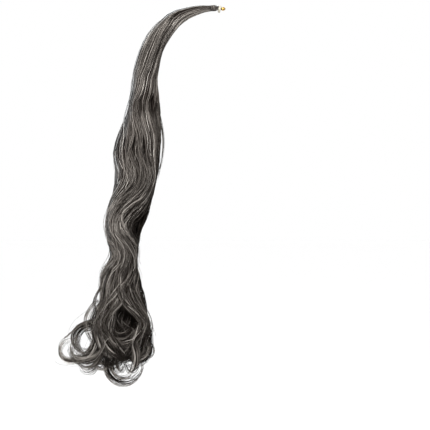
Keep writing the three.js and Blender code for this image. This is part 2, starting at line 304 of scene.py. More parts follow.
class HairSettings(bpy.types.PropertyGroup):
    """Sizes of the locks, wisps and strands"""

    outer_locks: number("Outer locks", "Locks round the outside of the tail", 84, 8)
    inner_locks: number("Inner locks", "Locks in the layer below", 16, 4)
    wisps: number("Wisps", "Wisps in each lock", 3, 1)
    strands: number("Strands", "Strands in each wisp", 5, 1)
    strand_radius: length("Strand radius", "Half thickness of a strand", 0.3 * MM)
    wisp_stray: length("Wisp stray", "How far wisps stray from their lock", 6 * MM)
    strand_stray: length("Strand stray", "How far strands stray from their wisp", 3 * MM)
    curl_radius: length("Curl radius", "Mean radius of the curls at the ends of the locks", 17 * MM)
    flyaways: number("Flyaways", "Single hairs that stand clear of the locks", 180)
    loose_hairs: number("Loose hairs", "Single hairs that cross the locks", 360)
    seed: number("Seed", "Seed of the scatter", 7)


class ColourSettings(bpy.types.PropertyGroup):
    """Colours of the hair, the band and the pin"""

    dark: colour("Dark strand", "Darkest strands", (0.0072, 0.0056, 0.0044))
    middle: colour("Middle strand", "Most strands", (0.0525, 0.0466, 0.0415))
    light: colour("Light strand", "Grey strands", (0.143, 0.129, 0.116))
    silver: colour("Silver strand", "Lightest strands", (0.3, 0.279, 0.255))
    elastic: colour("Elastic", "The band round the cut end", (0.215, 0.2, 0.16))
    brass: colour("Pin", "Gold-coloured metal of the pin", (0.26, 0.158, 0.04))


class StageSettings(bpy.types.PropertyGroup):
    """Camera, light and floor"""

    view_width: length("View width", "Width of the picture at the hair", 632.1 * MM)
    view_x: length("View X", "Middle of the picture", 1.5 * MM)
    view_z: length("View Z", "Height of the camera", -297 * MM)
    distance: length("Distance", "Camera to hair", 2.4)
    floor_drop: length("Floor drop", "From the lowest curl down to the floor", 0.4)
    sky: FloatProperty(name="Sky", description="Strength of the even white light", default=1.0, min=0)
    key_power: power("Key", "Light from above and in front", 72)
    fill_power: power("Fill", "Light from the near side", 4)
    far_power: power("Far", "Light from the far side", 36)


# Node trees


class TreeMaker:
    """Adds nodes to a tree. An input that is given a socket is linked to it, and any other value is set."""

    def __init__(self, tree):
        self.tree = tree

    def feed(self, socket, value):
        if isinstance(value, bpy.types.NodeSocket):
            self.tree.links.new(value, socket)
        else:
            socket.default_value = value

    def add(self, kind, inputs=None, **settings):
        node = self.tree.nodes.new(kind)
        for name, value in settings.items():
            setattr(node, name, value)
        for name, value in (inputs or {}).items():
            self.feed(node.inputs[name], value)
        return node

    def operate(self, kind, operation, values):
        node = self.add(kind, operation=operation)
        for socket, value in zip(node.inputs, values):
            self.feed(socket, value)
        return node.outputs[0]

    def math(self, operation, *values):
        return self.operate("ShaderNodeMath", operation, values)

    def vector(self, operation, *values):
        return self.operate("ShaderNodeVectorMath", operation, values)

    def scaled(self, vector, scale):
        inputs = {"Vector": vector, "Scale": scale}
        return self.add("ShaderNodeVectorMath", inputs, operation="SCALE").outputs[0]

    def gain(self, value, factor, start):
        """A value times a factor, on top of a start."""
        return self.math("MULTIPLY_ADD", value, factor, start)

    def mix(self, low, high, share):
        return self.gain(self.math("SUBTRACT", high, low), share, low)

    def noise(self, place, scale, detail):
        return self.add("ShaderNodeTexNoise", {"Vector": place, "Scale": scale, "Detail": detail}).outputs

    def object_place(self):
        return self.add("ShaderNodeTexCoord").outputs["Object"]


class GrowthTree(TreeMaker):
    """A geometry tree's steps and fields"""

    def step(self, kind, inputs, **settings):
        return self.add(kind, inputs, **settings).outputs[0]

    def attribute(self, name, data_type="FLOAT"):
        node = self.add("GeometryNodeInputNamedAttribute", {"Name": name}, data_type=data_type)
        return node.outputs["Attribute"]

    def random(self, low, high, seed, step):
        inputs = {"Seed": self.math("ADD", seed, step)}
        node = self.add("FunctionNodeRandomValue", inputs, data_type="FLOAT")
        self.feed(node.inputs[2], low)
        self.feed(node.inputs[3], high)
        return node.outputs[1]

    def ramp(self, value, low, high):
        return self.step("ShaderNodeMapRange", {"Value": value, "From Min": low, "From Max": high})

    def store(self, geometry, name, value, data_type="FLOAT", domain="CURVE"):
        inputs = {"Geometry": geometry, "Name": name, "Value": value}
        return self.step("GeometryNodeStoreNamedAttribute", inputs, domain=domain, data_type=data_type)

    def wander(self, frequency, first, second):
        """Smooth noise down the length of a strand, with so many changes in each metre."""
        places = {"X": (self.attribute("run"), frequency), "Y": (first, 90.0), "Z": (second, 70.0)}
        inputs = {axis: self.math("MULTIPLY", *pair) for axis, pair in places.items()}
        return self.noise(self.add("ShaderNodeCombineXYZ", inputs).outputs[0], 1.0, 1.0)

    def scattered(self, lines, level, across, seed, step):
        """Stores each line's place in its bundle and its own tone, and gives the lines and these three."""
        lines = self.store(lines, level + "_across", across)
        lines = self.store(lines, level + "_rise", self.random(-1.0, 1.0, seed, step))
        lines = self.store(lines, level + "_tone", self.random(0.0, 1.0, seed, step + 1))
        return lines, *(self.attribute(level + field) for field in ("_across", "_rise", "_tone"))

    def strayed(self, lines, offset, noise, reach):
        """Moves lines by an offset and by a stray that is nothing at their roots."""
        swing = self.vector("SUBTRACT", noise["Color"], (0.5, 0.5, 0.5))
        far = self.math("MULTIPLY", self.math("MULTIPLY", self.attribute("along"), 2.0), reach)
        offset = self.vector("ADD", offset, self.scaled(swing, far))
        return self.step("GeometryNodeSetPosition", {"Geometry": lines, "Offset": offset})


def new_group(name, kind, inputs, outputs):
    """A node group with sockets of the given kinds."""
    group = bpy.data.node_groups.new(name, kind)
    for way, sockets in (("INPUT", inputs), ("OUTPUT", outputs)):
        for socket, socket_kind in sockets.items():
            group.interface.new_socket(socket, in_out=way, socket_type="NodeSocket" + socket_kind)
    return group


BUNDLE_INPUTS = {
    "Guides": "Geometry",
    "Wisps": "Int",
    "Strands": "Int",
    "Wisp Stray": "Float",
    "Strand Stray": "Float",
    "Strand Radius": "Float",
    "Root Spread": "Float",
    "Tip Spread": "Float",
    "Shortest": "Float",
    "Latest Root": "Float",
    "Tip Tone": "Float",
    "Seed": "Int",
    "Material": "Material",
}

# Shares of a strand's tone that come from its lock, its wisp and itself
ToneShare = namedtuple("ToneShare", "packed spread")
LOCK_SHARE = ToneShare(0.54, 0.4)
WISP_SHARE = ToneShare(0.25, 0.76)
STRAND_SHARE = ToneShare(0.7, 0.4)
WISP_TIP_SHARE = 0.12
# Share of the painted glints, runs of painted highlight and shade along each strand
PAINTED_GLINT_SHARE = 1.2

# Shares of a lock's length over which its hair spreads, and over which its tips begin
SPREADING = (0.26, 0.46)
TIPPING = (0.58, 0.75)

# How often wisps, strands and painted glints change in each metre, and how much a strand thins and varies
WISP_WANDER = 11.0
STRAND_WANDER = 17.0
PAINTED_GLINT_WANDER = 30.0
TIP_THINNING = 0.65
STRAND_WIDTHS = (0.6, 1.25)


def bundle_tree():
    """Turns each guide line into a lock: wisps side by side across it, with strands gathered in each."""
    tree = new_group("lock_of_strands", "GeometryNodeTree", BUNDLE_INPUTS, {"Strands": "Geometry"})
    make = GrowthTree(tree)
    given = make.add("NodeGroupInput").outputs
    seed = given["Seed"]
    side, out = make.attribute("side", "FLOAT_VECTOR"), make.attribute("out", "FLOAT_VECTOR")
    along = make.attribute("along")

    lines = make.step("GeometryNodeMeshToCurve", {"Mesh": given["Guides"]})
    inputs = {"Geometry": lines, "Amount": given["Wisps"]}
    wisps = make.add("GeometryNodeDuplicateElements", inputs, domain="SPLINE").outputs
    place = make.math("ADD", wisps["Duplicate Index"], make.random(0.1, 0.9, seed, 1))
    across = make.gain(make.math("DIVIDE", place, given["Wisps"]), 2.0, -1.0)
    lines, across, rise, wisp_tone = make.scattered(wisps["Geometry"], "wisp", across, seed, 2)
    offset = make.vector("ADD", make.scaled(side, across), make.scaled(out, rise))
    noise = make.wander(WISP_WANDER, wisp_tone, rise)
    lines = make.strayed(lines, offset, noise, given["Wisp Stray"])

    inputs = {"Geometry": lines, "Amount": given["Strands"]}
    lines = make.step("GeometryNodeDuplicateElements", inputs, domain="SPLINE")
    across = make.random(-1.0, 1.0, seed, 4)
    lines, across, rise, strand_tone = make.scattered(lines, "strand", across, seed, 5)
    lines = make.store(lines, "strand_id", make.add("GeometryNodeInputIndex").outputs[0], "INT")
    offset = make.vector("ADD", make.scaled(side, across), make.scaled(out, rise))
    offset = make.scaled(offset, make.mix(given["Root Spread"], given["Tip Spread"], along))
    noise = make.wander(STRAND_WANDER, strand_tone, across)
    lines = make.strayed(lines, offset, noise, given["Strand Stray"])

    # Tone of each strand: its lock counts most where the hair is packed, and its wisp where it has spread
    spread_out, tips = make.ramp(along, *SPREADING), make.ramp(along, *TIPPING)
    tone = make.math("MULTIPLY", make.attribute("lock_tone"), make.mix(*LOCK_SHARE, spread_out))
    wisp_share = make.gain(tips, WISP_TIP_SHARE, make.mix(*WISP_SHARE, spread_out))
    tone = make.gain(make.math("POWER", wisp_tone, 5.0), wisp_share, tone)
    tone = make.gain(make.math("POWER", strand_tone, 4.0), make.mix(*STRAND_SHARE, spread_out), tone)
    # Painted glints: brighter and darker runs along each strand
    painted_glint = make.math("SUBTRACT", make.wander(PAINTED_GLINT_WANDER, wisp_tone, strand_tone)["Fac"], 0.5)
    tone = make.gain(painted_glint, PAINTED_GLINT_SHARE, tone)
    tone = make.gain(tips, given["Tip Tone"], tone)
    lines = make.store(lines, "shade", tone, domain="POINT")

    reach = make.mix(given["Shortest"], 1.0, make.random(0.0, 1.0, seed, 7))
    root = make.math("MULTIPLY", make.random(0.0, 1.0, seed, 8), given["Latest Root"])
    lines = make.step("GeometryNodeTrimCurve", {"Curve": lines, "Start": root, "End": reach}, mode="FACTOR")
    thin = make.math("SUBTRACT", 1.0, make.math("MULTIPLY", make.math("POWER", along, 4.0), TIP_THINNING))
    width = make.math("MULTIPLY", given["Strand Radius"], thin)
    width = make.math("MULTIPLY", width, make.mix(*STRAND_WIDTHS, strand_tone))
    section = make.step("GeometryNodeCurvePrimitiveCircle", {"Resolution": 3, "Radius": 1.0})
    inputs = {"Curve": lines, "Profile Curve": section, "Scale": width, "Fill Caps": True}
    mesh = make.step("GeometryNodeCurveToMesh", inputs)
    mesh = make.step("GeometryNodeSetShadeSmooth", {"Geometry": mesh, "Shade Smooth": True})
    mesh = make.step("GeometryNodeRealizeInstances", {"Geometry": mesh})
    mesh = make.step("GeometryNodeSetMaterial", {"Geometry": mesh, "Material": given["Material"]})
    make.add("NodeGroupOutput", {"Strands": mesh})
    return tree


# Materials


class SurfaceTree(TreeMaker):
    """A new material's tree"""

    def __init__(self, name):
        self.material = bpy.data.materials.new(name)
        self.material.use_nodes = True
        super().__init__(self.material.node_tree)

    def stretched(self, place, scale, detail):
        stretch = self.add("ShaderNodeMapping", {"Vector": place, "Scale": scale}).outputs[0]
        return self.noise(stretch, 1.0, detail)["Fac"]

    def bump(self, height, strength, distance):
        inputs = {"Height": height, "Strength": strength, "Distance": distance}
        return self.add("ShaderNodeBump", inputs).outputs[0]

    def tinted(self, mask, full_colour, dark_share):
        """A colour that is darker where a mask is low."""
        tint = self.add("ShaderNodeValToRGB", {"Fac": mask})
        low, high = tint.color_ramp.elements
        low.color = (*(dark_share * value for value in full_colour), 1)
        high.color = (*full_colour, 1)
        return tint.outputs["Color"]

    def surface(self, inputs):
        """The material, with its shader's inputs set or linked."""
        shader = self.tree.nodes["Principled BSDF"]
        for name, value in inputs.items():
            self.feed(shader.inputs[name], value)
        return self.material


# Shades of hair at which each of its colours stands, and the change of colour for the painted sky
# reflection
HAIR_STOPS = {"dark": 0.05, "middle": 0.42, "light": 0.76, "silver": 1.0}
RIM_SHEEN_TINT = (-0.11, 0.0, 0.12)


def hair_tone_group():
    """Colour and roughness of hair from its shade, from charcoal to silver, with painted sky reflection
    where asked.
    """
    colours = bpy.context.scene.ponytail_colours
    outputs = {"Colour": "Color", "Roughness": "Float"}
    group = new_group("hair_tone", "ShaderNodeTree", {"Shade": "Float", "Cool": "Float"}, outputs)
    make = TreeMaker(group)
    given = make.add("NodeGroupInput").outputs
    cloud = make.noise(make.object_place(), 42.0, 2.0)["Fac"]
    shade = make.math("ADD", given["Shade"], make.math("MULTIPLY", make.math("SUBTRACT", cloud, 0.5), 0.22))
    tones = make.add("ShaderNodeValToRGB", {"Fac": shade})
    stops = tones.color_ramp.elements
    for name in ("middle", "light"):
        stops.new(HAIR_STOPS[name])
    for stop, (name, position) in zip(stops, HAIR_STOPS.items()):
        stop.position = position
        stop.color = (*getattr(colours, name), 1)
    # Rim sheen: a painted bluish reflection of the sky, tinting the colour
    tint = make.vector("MULTIPLY_ADD", given["Cool"], RIM_SHEEN_TINT, (1.0, 1.0, 1.0))
    shown = make.vector("MULTIPLY", tones.outputs["Color"], tint)
    make.add("NodeGroupOutput", {"Colour": shown, "Roughness": make.gain(cloud, 0.2, 0.6)})
    return group


def hair_inputs(make, shade, cool=0.0):
    """What a hair material's shader takes from the shared hair group."""
    group = bpy.data.node_groups.get("hair_tone") or hair_tone_group()
    tone = make.add("ShaderNodeGroup", {"Shade": shade, "Cool": cool}, node_tree=group).outputs
    return {"Base Color": tone["Colour"], "Roughness": tone["Roughness"]}


def strand_material():
    """Single strands, each with its own shade."""
    make = SurfaceTree("hair_strand")
    fields = [make.add("ShaderNodeAttribute", attribute_name=name) for name in ("shade", "cool")]
    inputs = hair_inputs(make, *(field.outputs["Fac"] for field in fields))
    return make.surface({**inputs, "Specular IOR Level": 0.03})


def core_material():
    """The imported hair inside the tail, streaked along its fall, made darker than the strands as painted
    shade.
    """
    make = SurfaceTree("hair_core")
    fall = make.add("ShaderNodeUVMap", uv_map="fall").outputs[0]
    streak = make.stretched(fall, (150.0, 5.0, 1.0), 3.0)
    # Painted shade: the packed hair is set well below the strands' tone
    inputs = hair_inputs(make, make.gain(streak, 0.4, -0.16))
    return make.surface({**inputs, "Normal": make.bump(streak, 0.8, 1.5 * MM), "Specular IOR Level": 0.05})


def elastic_material(full_colour):
    """Off-white covered elastic with a fine knit."""
    make = SurfaceTree("covered_elastic")
    place = make.object_place()
    knit = make.add("ShaderNodeTexVoronoi", {"Vector": place, "Scale": 2600.0}).outputs["Distance"]
    soil = make.noise(place, 420.0, 3.0)["Fac"]
    return make.surface({
        "Base Color": make.tinted(soil, full_colour, 0.72),
        "Roughness": make.gain(soil, 0.2, 0.55),
        "Normal": make.bump(knit, 0.5, 0.15 * MM),
    })


def brass_material(full_colour):
    """Gold-coloured pin metal, drawn lengthways and a little rubbed."""
    make = SurfaceTree("pin_brass")
    drawn = make.stretched(make.object_place(), (180.0, 2400.0, 700.0), 2.0)
    return make.surface({
        "Base Color": make.tinted(drawn, full_colour, 0.62),
        "Roughness": make.gain(drawn, 0.25, 0.4),
        "Normal": make.bump(drawn, 0.25, 0.1 * MM),
        "Metallic": 1.0,
    })


def floor_material():
    """Plain pale floor with a faint unevenness."""
    make = SurfaceTree("pale_floor")
    cloud = make.noise(make.object_place(), 3.0, 2.0)["Fac"]
    return make.surface({"Base Color": (1, 1, 1, 1), "Roughness": make.gain(cloud, 0.1, 0.75)})


# Shapes of the tail and its locks, in millimetres

Sections = namedtuple("Sections", "middle fall outward half_thick half_wide")
Guide = namedtuple("Guide", "points side out along tone cool", defaults=(0,))
Curl = namedtuple("Curl", "turn bend sweep drift")

# Steps along the tail, its locks and their curls, the least half thickness that sways, and a wave's phases
ROW_STEP = 0.02
TAIL_STEPS = 1200
LOCK_STEPS = 53
CURL_STEPS = 11
LEAST_SWAYED = 12
PHASES = (0, 6.28)

# Waves of a tail lock: their lengths, and how far they turn and raise it
WAVE_LENGTHS = (80, 190)
WAVE_TURNS = (0.09, 0.06)
WAVE_RISE = 0.045

# How far the tail's locks overlap, and how much they narrow towards their ends
LOCK_OVERLAP = 1.25
LOCK_NARROWING = 0.5

# Locks on the near face: half thickness, how far their ends sink, and how near the edge they may lie
NEAR_RISE = 1.4
NEAR_SINK = 0.18
NEAR_EDGE = 0.97

# Free wisps and single hairs: points along each, half thickness, and how far a hair swings
WISP_STEPS = 30
WISP_RISE = 3.0
HAIR_STEPS = 26
HAIR_SIZE = 0.3
HAIR_SWING = 0.08


def smoothstep(low, high, value):
    share = np.clip((value - low) / (high - low), 0, 1)
    return share * share * (3 - 2 * share)


def ramp(low, high):
    return lambda value: smoothstep(low, high, value)


def bell(middle, reach):
    return lambda value: np.exp(-(((value - middle) / reach) ** 2))


def everywhere(value):
    return 1.0


def covered(aside):
    """Less of a tone towards the far side of the tail, which keeps painted shade mostly to the near side.
    """
    return 0.3 + 0.7 * smoothstep(0.75, 0.1, aside)


# Tones added to the tail's locks, by height, by how far they face back, from 1 to -1, and by how far aside;
# many rows paint shade and light, as marked
ToneRow = namedtuple("ToneRow", "tone height facing aside", defaults=(everywhere,))
TONES = table(
    ToneRow,
    # Painted shade of the display head on the side of the tail that faces it, more of it lower down
    (-0.15, everywhere, ramp(-0.05, -0.85)),
    (-0.3, ramp(-150, -200), ramp(-0.05, -0.85)),
    # Painted shade along the outer edge
    (-0.2, everywhere, ramp(0.7, 1.0)),
    (-0.75, ramp(-16, -4), bell(0, 0.4)),
    # Painted light on the top of the arch near the root
    (0.7, ramp(-22, -4), ramp(0.4, 0.9)),
    # Painted highlight on the outer side at this height
    (0.35, bell(-120, 22), ramp(0.1, 0.4)),
    (0.05, bell(-245, 45), everywhere),
    (0.14, ramp(-250, -300), everywhere),
    # Painted shade in the hollow beside the S-shaped lock
    (-1.4, bell(-299, 24), ramp(0.1, -0.2), covered),
    (0.5, bell(-330, 50), ramp(-0.2, 0.25)),
    # Painted shadow of the display head on the lowest hair beside it
    (-1.5, ramp(-340, -400), ramp(0.0, -0.5), covered),
    (-0.38, ramp(-350, -400), everywhere),
)

# The mean tone, and the tones added at the root, as painted shade on inner locks and as painted bounce
# light under the arch
MEAN_TONE = 0.52
ROOT_TONE = -0.3
INNER_PAINTED_SHADE = -0.5
UNDER_ARCH_PAINTED_LIGHT = 0.85

# The dark line of painted shade along the parting that crosses the arch: how far forward it lies at each
# depth below the crown
CROSSING_DEPTHS = (-5, 5, 18, 37, 60)
CROSSING_PLACES = (-0.5, -0.4, 0.3, 0.55, 0.6)
CROSSING_PAINTED_SHADE = -0.3


def unit(vectors):
    return vectors / np.linalg.norm(vectors, axis=-1, keepdims=True)


def spline(rows, at):
    """Values on a smooth line through the rows of a table, at row positions."""
    rows = np.asarray(rows, float)
    last = len(rows) - 1
    at = np.clip(at, 0, last)
    first = np.minimum(at.astype(int), last - 1)
    share = (at - first)[:, None]
    before, here, after, beyond = (rows[np.clip(first + step, 0, last)] for step in (-1, 0, 1, 2))
    bend = 2 * before - 5 * here + 4 * after - beyond + share * (3 * (here - after) + beyond - before)
    return here + 0.5 * share * (after - before + share * bend)


def tail_sections(at):
    x, z, thick, wide = spline(TAIL, at).T
    slopes = spline(TAIL, at + ROW_STEP) - spline(TAIL, at - ROW_STEP)
    flat = np.zeros(len(x))
    fall = unit(np.stack((slopes[:, 0], flat, slopes[:, 1]), 1))
    outward = np.stack((fall[:, Z], flat, -fall[:, X]), 1)
    return Sections(np.stack((x, flat, z), 1), fall, outward, thick / 2, wide / 2)


def tail_row(axis, value):
    """Row position where the tail's middle falls to a value of x or z."""
    at = np.linspace(0, len(TAIL) - 1, TAIL_STEPS)
    reached = tail_sections(at).middle[:, axis]
    return float(np.interp(-value, -reached, at))


def even_rows(last, count):
    """Row positions at even steps down the tail, closer where the hair swings most."""
    at = np.linspace(0.2, last, TAIL_STEPS)
    middle = tail_sections(at).middle
    closer = 1 + 0.7 * bell(-310, 45)(middle[:, Z])
    passed = np.cumsum(np.gradient(run_along(middle)) * closer)
    return np.interp(np.linspace(passed[0], passed[-1], count), passed, at)


def swayed(sections, least=0):
    """How far the sway turns the locks round the tail."""
    heights, sways = np.asarray(SWAY, float).T
    at = np.interp(-sections.middle[:, Z], -heights, np.arange(len(SWAY)))
    upper = np.minimum(at.astype(int), len(SWAY) - 2)
    sway = sways[upper] + (sways[upper + 1] - sways[upper]) * smoothstep(0, 1, at - upper)
    return -sway / np.maximum(sections.half_thick, least)


def on_tail(sections, angle, depth):
    """Points round the tail, from its outside towards +Y, with the way out of it and the way round it."""
    across = sections.outward * (sections.half_thick * np.cos(angle))[:, None]
    aside = Y_AXIS * (sections.half_wide * np.sin(angle))[:, None]
    points = sections.middle + (across + aside) * depth[:, None]
    out = sections.outward * (sections.half_wide * np.cos(angle))[:, None]
    out = unit(out + Y_AXIS * (sections.half_thick * np.sin(angle))[:, None])
    return points, out, np.cross(sections.fall, out)


def falls(points):
    """The way a line runs at each of its points."""
    return unit(np.gradient(points, axis=0))


def run_along(points):
    return np.concatenate(([0], np.cumsum(np.linalg.norm(np.diff(points, axis=0), axis=1))))


def share_along(points):
    run = run_along(points)
    return run / run[-1]


def on_near_face(points, sections):
    return smoothstep(0.1, 0.6, -points[:, Y] / sections.half_wide)


def distance_from(row, points):
    """Squared distance from a place on the near face, as a share of its size."""
    return ((points[:, X] - row.x) / row.radius) ** 2 + ((points[:, Z] - row.z) / row.reach) ** 2


def parted(points, sections, share):
    """Moves the points of a lock on the near face by a share of the way to one side of each parting."""
    moved = points.copy()
    near = on_near_face(points, sections)
    for row in PARTINGS:
        nearest = np.argmin(np.abs(points[:, Z] - row.z))
        side = math.copysign(1, points[nearest, X] - row.x)
        gap = np.abs(points[:, X] - row.x)
        close = np.exp(-(((points[:, Z] - row.z) / row.reach) ** 2) - gap / row.radius)
        moved[:, X] += share * side * row.radius * near * close
    return moved


def painted_near_shade(points, sections):
    """Painted shade: how much darker a lock on the near face is at the dark places."""
    shade = np.zeros(len(points))
    for row in SHADES:
        distance = distance_from(row, points)
        shade += row.dark * (np.exp(-distance) + 0.1 * np.exp(-distance / 8))
    return shade * on_near_face(points, sections)


def with_curl(points, out, side, width, curl):
    """Adds a curl to a lock's end: turn sets its plane, bend its radius, sweep how far round it goes."""
    turning = smoothstep(0.55, 1.0, np.linspace(0, 1, len(points)))[:, None] * curl.turn
    turned_out = out * np.cos(turning) - side * np.sin(turning)
    turned_side = side * np.cos(turning) + out * np.sin(turning)
    fall = falls(points)[-1]
    towards = -unit(turned_out[-1] - fall * (turned_out[-1] @ fall))
    axis = np.cross(towards, fall)
    angle = np.linspace(0, curl.sweep, CURL_STEPS + 1)[1:, None]
    radius = curl.bend * (1 - 0.25 * angle / curl.sweep)
    loop = points[-1] + radius * (np.sin(angle) * fall + (1 - np.cos(angle)) * towards)
    loop = loop + axis * curl.drift * angle / FULL_TURN
    loop_out = np.sin(angle) * fall - np.cos(angle) * towards
    loop_width = width[-1] * (1 - 0.5 * angle[:, 0] / curl.sweep)
    return (
        np.concatenate((points, loop)),
        np.concatenate((turned_out, loop_out)),
        np.concatenate((turned_side, np.broadcast_to(axis, loop.shape))),
        np.concatenate((width, loop_width)),
    )


def tail_tones(tone, z, angle, depth):
    """Tones down a lock of the tail from its own tone, its heights and its place round the tail, with
    painted shade and light.
    """
    facing, aside = np.cos(angle), np.sin(angle)
    rooted = smoothstep(-12, 5, z)
    own = 0.25 + 0.75 * smoothstep(-100, -270, z) + 0.7 * rooted
    tones = MEAN_TONE + (tone - MEAN_TONE) * own + ROOT_TONE * rooted
    for row in TONES:
        tones = tones + row.tone * row.height(z) * row.facing(facing) * row.aside(aside)
    # Painted shade on the inner locks low down, so the gaps between locks look deep
    tones = tones + INNER_PAINTED_SHADE * smoothstep(-320, -400, z) * smoothstep(0.9, 0.85, depth)
    # Painted light under the arch, as if bounced up from the display head
    under = smoothstep(0, -0.5, facing + 0.5 * smoothstep(0, -20, z))
    tones = tones + UNDER_ARCH_PAINTED_LIGHT * smoothstep(-32, -5, z) * under
    # Painted shade along the parting that crosses the arch
    crossed = facing + np.interp(-z, CROSSING_DEPTHS, CROSSING_PLACES)
    return tones + CROSSING_PAINTED_SHADE * smoothstep(-75, -50, z) * bell(0, 0.2)(crossed)


def tail_lock(angle, depth, last_z, count, curl, tone, rng):
    """A lock that runs down the tail at an angle round it, and curls at its end."""
    sections = tail_sections(even_rows(tail_row(Z, last_z), LOCK_STEPS))
    z = sections.middle[:, Z]
    loose = smoothstep(-70, -250, z)
    lengths = rng.uniform(*WAVE_LENGTHS, 3)
    waves = [loose * np.sin(FULL_TURN * z / wave + rng.uniform(*PHASES)) for wave in lengths]
    swing = swayed(sections, LEAST_SWAYED) + WAVE_TURNS[0] * waves[0] + WAVE_TURNS[1] * waves[1]
    angles = angle + swing
    points, out, side = on_tail(sections, angles, depth * (1 + WAVE_RISE * waves[2]))
    points = parted(points, sections, smoothstep(0.78, 0.9, depth))
    width = LOCK_OVERLAP * math.pi * (sections.half_thick + sections.half_wide) * depth / (2 * count)
    width = width * (1 - LOCK_NARROWING * smoothstep(-300, -440, z))
    height = 0.1 * sections.half_thick + 0.4
    tones = tail_tones(tone, z, angles, depth) - painted_near_shade(points, sections)
    # Rim sheen: a painted bluish reflection of the sky on the outer side of the tail
    cool = smoothstep(0.5, 1.0, np.cos(angles))
    points, out, side, width = with_curl(points, out, side, width, curl)
    rows = (height, tones, cool)
    height, tones, cool = (np.concatenate((row, np.full(CURL_STEPS, row[-1]))) for row in rows)
    return Guide(points, side * width[:, None], out * height[:, None], share_along(points), tones, cool)


def ringlet_lock(row):
    """A lock that comes down the tail, leaves it and runs round the loop of a ringlet."""
    turn = math.radians(row.turn)
    across = np.array((math.cos(turn), math.sin(turn), 0))
    axis = np.array((-math.sin(turn), math.cos(turn), 0))
    share = np.linspace(0, 1, LOOP_STEPS)
    angle = np.radians(row.start + row.sweep * share)[:, None]
    centre = np.array((row.x, row.y, row.z))
    loop = centre + row.radius * (np.cos(angle) * across + np.sin(angle) * Z_AXIS)
    loop = loop + axis * row.drift * share[:, None]

    at = np.linspace(tail_row(Z, row.leave + RINGLET_LEAD), tail_row(Z, row.leave), LEAD_STEPS)
    sections = tail_sections(at)
    share = np.linspace(0, 1, LEAD_STEPS)
    twist = math.radians(RINGLET_LEAD_TWIST) * math.cos(turn) * (1 - share) ** 2
    angle = math.radians(row.side) + twist + swayed(sections)
    lead, _, lead_side = on_tail(sections, angle, 0.8 + 0.1 * smoothstep(0, 0.35, share))
    lead = parted(lead, sections, smoothstep(60, 85, abs(row.side)))

    start, end = lead[-1], loop[0]
    reach = RINGLET_PULL * np.linalg.norm(end - start)
    first = start + reach * falls(lead)[-1]
    second = end - reach * unit(loop[1] - loop[0])
    share = np.linspace(0, 1, BEND_STEPS)[1:-1, None]
    bend = (1 - share) ** 3 * start + 3 * (1 - share) ** 2 * share * first
    bend = bend + 3 * (1 - share) * share**2 * second + share**3 * end

    points = np.concatenate((lead, bend, loop))
    along = share_along(points)
    facing = axis * math.copysign(1, lead_side[-1] @ axis)
    turned = smoothstep(along[len(lead) - 1] - 0.15, along[len(lead) + len(bend)], along)[:, None]
    guess = np.concatenate((lead_side, np.broadcast_to(facing, (len(bend) + len(loop), 3)))) * (1 - turned)
    guess = guess + facing * turned
    fall = falls(points)
    side = unit(guess - fall * np.sum(guess * fall, axis=1)[:, None])
    thin = row.thick / 2 * (1 - (1 - RINGLET_TIP) * along**2) * (0.2 + 0.8 * smoothstep(0, 0.4, along))
    out = np.cross(side, fall) * thin[:, None] * (0.35 + 0.65 * turned)
    return Guide(points, side * (RINGLET_BROAD * thin)[:, None], out, along, row.tone)


def near_face_lock(lock):
    """A lock laid on the near face of the tail, that comes out of it at its top and sinks in at its end."""
    path = spline(lock.path, np.linspace(0, len(lock.path) - 1, 12 + 3 * len(lock.path)))
    sections = tail_sections(np.array([tail_row(Z, z) for z in path[:, 1]]))
    offset = (sections.middle[:, X] - path[:, 0]) / sections.half_thick
    angle = -np.arccos(np.clip(offset, -NEAR_EDGE, NEAR_EDGE))
    share = np.linspace(0, 1, len(path))
    shown = smoothstep(0, 0.2, share) * smoothstep(0, 0.15, 1 - share)
    points, out, side = on_tail(sections, angle, lock.depth - NEAR_SINK * (1 - shown))
    tones = lock.tone + (lock.end_tone - lock.tone) * smoothstep(lock.fade, lock.fade + 0.25, share)
    width = lock.width * (0.5 + 0.5 * shown)
    return Guide(points, side * width[:, None], out * NEAR_RISE, share_along(points), tones)


def free_wisp(wisp):
    """A thin wisp that hangs clear of the tail."""
    path = spline(wisp.path, np.linspace(0, len(wisp.path) - 1, WISP_STEPS))
    points = np.stack((path[:, 0], np.full(len(path), float(wisp.y)), path[:, 1]), 1)
    out = np.broadcast_to(-Y_AXIS, points.shape)
    share = np.linspace(0, 1, len(path))
    width = wisp.width * (1 - 0.5 * share)
    return Guide(points, np.cross(falls(points), out) * width[:, None], out * WISP_RISE, share, wisp.tone)


def single_hair(angle, row, rng):
    """A single hair that stands clear of the tail for part of its fall."""
    first_z, fall, lift = rng.uniform(*row.heights), rng.uniform(*row.lengths), rng.uniform(*row.lift)
    last_z = max(first_z - fall, HAIR_LOWEST)
    sections = tail_sections(np.linspace(tail_row(Z, first_z), tail_row(Z, last_z), HAIR_STEPS))
    share = np.linspace(0, 1, HAIR_STEPS)
    swing = HAIR_SWING * np.sin(FULL_TURN * share * rng.uniform(0.6, 1.6) + rng.uniform(*PHASES))
    rise = row.start + lift * share ** rng.uniform(0.8, 2.0)
    points, out, side = on_tail(sections, angle + (swayed(sections) + swing), rise)
    points = parted(points, sections, 1.0)
    return Guide(points, side * HAIR_SIZE, out * HAIR_SIZE, share, rng.uniform(*HAIR_TONES))


